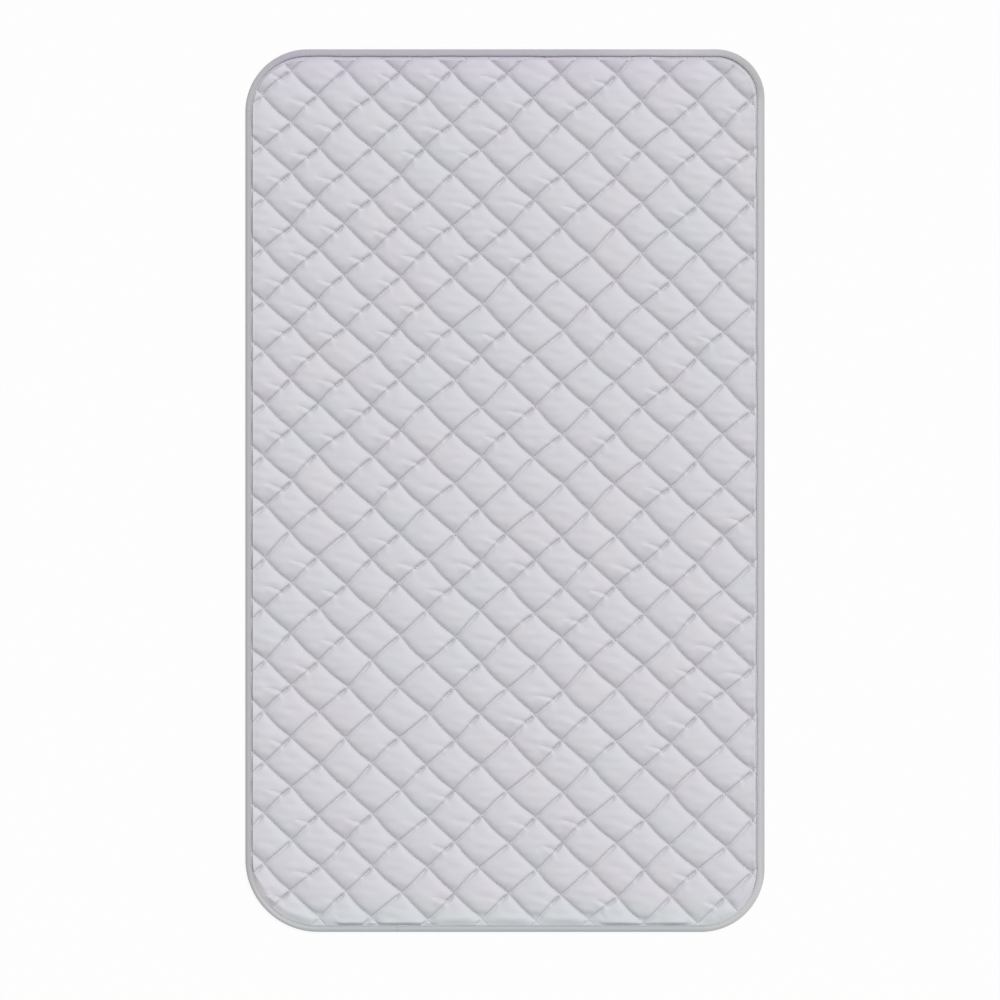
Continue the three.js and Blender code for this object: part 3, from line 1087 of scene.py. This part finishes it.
def makeFaceLook():
    values = faceLook
    look = Look("face_cloth_weave")
    at, x, y = look.place()
    tint = look.noise(at, values["patchScale"])
    colour = look.blend(look.range(tint, 0.52, 0.72, 0, 0.3), values["colour"], values["rosy"])
    colour = look.blend(look.range(tint, 0.48, 0.28, 0, 0.3), colour, values["cool"])
    colour = look.tinted(colour, values, x, y)
    # the stitches pull the cloth down along the rows
    offX, offY = x - plan["crossing"][0], y - plan["crossing"][1]
    u, v = (offX * float(one) + offY * float(other) for one, other in intoQuilt)
    strayU, strayV = stray(u, v, Wire.sine)
    u, v = u - strayU, v - strayV
    dips = []
    for across, along in ((u, v), (v, u)):
        near = look.range((across - across.nearest()).size(), 0.0, values["pullReach"], 1, 0)
        holes = (along * (fullTurn * plan["stitches"]) + pi / 2).sine() * 0.5 + 0.5
        dips.append(near * near * (0.35 + 0.65 * holes))
    weave = plainWeave(x, y, values["weavePitch"])
    crinkle = look.noise(at, values["crinkleScale"], 3.0, (0.6, 1, 1))
    crinkled, woven, pulled = values["shares"]
    height = crinkle * crinkled + weave * woven - dips[0].orLarger(dips[1]) * pulled
    return look.cloth(values, colour, values["roughness"] + (weave - 0.5) * 0.08, height)


backingLook = {
    "colour": shade(196, 195, 199),
    "warmer": shade(190, 188, 190),
    "patchScale": 20.0,
    "roughness": 0.8,
    "sheen": 0.1,
    "relief": 1 * mm,
    "weavePitch": 0.8 * mm,
    "crinkleScale": 120.0,
}


def makeBackingLook():
    values = backingLook
    look = Look("backing_cloth_weave")
    at, x, y = look.place()
    patches = look.range(look.noise(at, values["patchScale"]), 0.35, 0.65, 0, 0.7)
    colour = look.blend(patches, values["colour"], values["warmer"])
    weave = plainWeave(x, y, values["weavePitch"])
    height = weave * 0.06 + look.noise(at, values["crinkleScale"], 3.0) * 0.25
    return look.cloth(values, colour, values["roughness"] + (weave - 0.5) * 0.1, height)


waddingLook = {
    "colour": shade(241, 240, 236),
    "shadow": shade(222, 221, 216),
    "roughness": 0.95,
    "sheen": 0.3,
    "relief": 0.4 * mm,
    "fibreScale": 900.0,
}


def makeWaddingLook():
    values = waddingLook
    look = Look("wadding_fibres")
    at, _, _ = look.place()
    fibres = look.noise(at, values["fibreScale"], 4.0, (1, 0.25, 1))
    colour = look.blend(look.range(fibres, 0.35, 0.65), values["shadow"], values["colour"])
    return look.cloth(values, colour, values["roughness"] - fibres * 0.05, fibres)


tapeLook = {
    "colour": shade(190, 189, 193),
    "worn": shade(197, 197, 199),
    "lilac": shade(178, 174, 184),
    # painted shade on the tape's left side, which faces away from the lamp
    "left": shade(183, 183, 186),
    # painted light on the tape's right side, which faces the lamp
    "right": shade(196, 196, 200),
    # painted shade along the tape's outermost right edge
    "rim": shade(185, 185, 188),
    "near": shade(184, 190, 194),
    "pale": shade(198, 198, 199),
    "shaded": shade(178, 178, 180),
    # as for the face cloth
    "places": [
        # painted shade on the left side and painted light on the right side
        ("left", (-0.19, -0.25, 0, 0.9), None),
        ("right", (0.235, 0.245, 0, 0.9), None),
        # painted shade along the outermost right edge
        ("rim", (0.2462, 0.2478, 0, 1), None),
        ("near", None, (-0.39, -0.42, 0, 0.9)),
        ("lilac", (0.14, 0.06, 0.4, 1), (0.39, 0.42, 0, 1)),
        ("shaded", (0.19, 0.22, 0, 1), (0.365, 0.39, 0, 1)),
        ("pale", (0.17, 0.215, 0, 1), (-0.36, -0.40, 0, 0.9)),
        ("pale", (-0.17, -0.215, 0, 1), (-0.36, -0.40, 0, 0.9)),
    ],
    "patchScale": 30.0,
    "roughness": 0.7,
    "sheen": 0.1,
    "relief": 1 * mm,
    "ribPitch": 0.75 * mm,
    "crinkleScale": 220.0,
}


def makeTapeLook():
    values = tapeLook
    look = Look("binding_tape_weave")
    at, x, y = look.place()
    patches = look.range(look.noise(at, values["patchScale"]), 0.4, 0.65, 0, 0.8)
    colour = look.blend(patches, values["colour"], values["worn"])
    colour = look.tinted(colour, values, x, y)
    ribs = ((x + y) * (fullTurn / values["ribPitch"])).sine() * 0.5 + 0.5
    height = ribs * 0.05 + look.noise(at, values["crinkleScale"], 3.0) * 0.22
    return look.cloth(values, colour, values["roughness"] + (ribs - 0.5) * 0.08, height)


threadLook = {
    # darker grey than the face cloth: partly the thread's own grey, partly painted shade of the
    # grooves along the rows
    "colour": shade(178, 177, 183),
    # painted shade in the grooves between the twisted plies
    "plyShade": shade(158, 157, 163),
    "roughness": 0.55,
    "sheen": 0.1,
    "relief": 0.06 * mm,
    "plyPitch": 0.45 * mm,
}


def makeThreadLook():
    values = threadLook
    look = Look("twisted_thread")
    _, x, y = look.place()
    ply = ((x * 0.7 + y) * (fullTurn / values["plyPitch"])).sine() * 0.5 + 0.5
    # painted shade where the plies dip
    colour = look.blend(ply, values["plyShade"], values["colour"])
    return look.cloth(values, colour, values["roughness"] + ply * 0.05, ply)


# Light, table top and camera

studio = {
    "keyShare": 0.53,  # of the light on a level face
    "keyBearing": 52,  # degrees from +X towards +Y
    "keyHeight": 56,
    "keySpread": 22,
    "tableColour": (0.86, 0.86, 0.86, 1),
    "tableGlow": 0.9,  # share of plain white in what the camera sees of it
    "tableReach": 4.0,
    "tableDrop": -0.3 * mm,
    "middle": (-0.0048, -0.0091),  # of the picture, on the pad
    "across": 0.9625,  # metres that the picture spans there
    "cameraHeight": 3.2,
}


def makeStudio():
    values = studio
    world = bpy.context.scene.world or bpy.data.worlds.new("studio")
    bpy.context.scene.world = world
    sky = Look("", world)
    fill = sky.node("Background", {}, {"Color": (1, 1, 1, 1), "Strength": 1 - values["keyShare"]})
    white = sky.node("Background", {}, {"Color": (1, 1, 1, 1), "Strength": 1.0})
    shown = sky.node("MixShader", {}, {0: sky.seen(), 1: fill, 2: white})
    sky.node("OutputWorld", {}, {"Surface": shown})

    key = bpy.data.lights.new("key_lamp", "SUN")
    key.energy = values["keyShare"] * pi / sin(radians(values["keyHeight"]))
    key.angle = radians(values["keySpread"])
    lamp = addObject("key_lamp", key)
    bearing, height = radians(values["keyBearing"]), radians(values["keyHeight"])
    level = cos(height)
    towards = Vector((cos(bearing) * level, sin(bearing) * level, sin(height)))
    lamp.location = towards * 2
    lamp.rotation_euler = towards.to_track_quat("Z", "Y").to_euler()

    top = Look("table_top")
    paint = top.node("BsdfDiffuse", {}, {"Color": values["tableColour"]})
    glow = top.node("Emission", {}, {"Color": (1, 1, 1, 1), "Strength": 1.0})
    lit = top.node("MixShader", {}, {0: top.seen() * values["tableGlow"], 1: paint, 2: glow})
    top.node("OutputMaterial", {}, {"Surface": lit})
    corners = [(across * values["tableReach"], along * values["tableReach"], values["tableDrop"])
               for across, along in ((-1, -1), (1, -1), (1, 1), (-1, 1))]
    tableTop = addObject("table_top", newMesh("table_top", corners, [(0, 1, 2, 3)]))
    tableTop.data.materials.append(top.owner)

    camera = addObject("camera", bpy.data.cameras.new("camera"))
    camera.location = (*values["middle"], values["cameraHeight"])
    level = values["cameraHeight"] - 5 * mm
    camera.data.lens = camera.data.sensor_width / 2 / (values["across"] / 2 / level)
    bpy.context.scene.camera = camera
    bpy.context.scene.view_settings.view_transform = "Standard"


makeStudio()
print("studio ready")
face, filling = makeFace(makeFaceLook())
print("face cloth filled and sewn")
backing = makeBacking(makeBackingLook(), filling)
filler = makeWadding(makeWaddingLook(), filling)
print("backing cloth and wadding laid under it")
tape = makeBinding(makeTapeLook())
print("binding tape folded round the edge")
threadShade = makeThreadLook()
sewn = [makeRow(node, threadShade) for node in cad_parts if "_row_" in node]
seams = [
    makeSeam("binding_needle_stitches", "binding_needle_thread", threadShade, True),
    makeSeam("binding_bobbin_stitches", "binding_bobbin_thread", threadShade, False),
]
print("rows and binding seam stitched:", len(sewn), "rows")
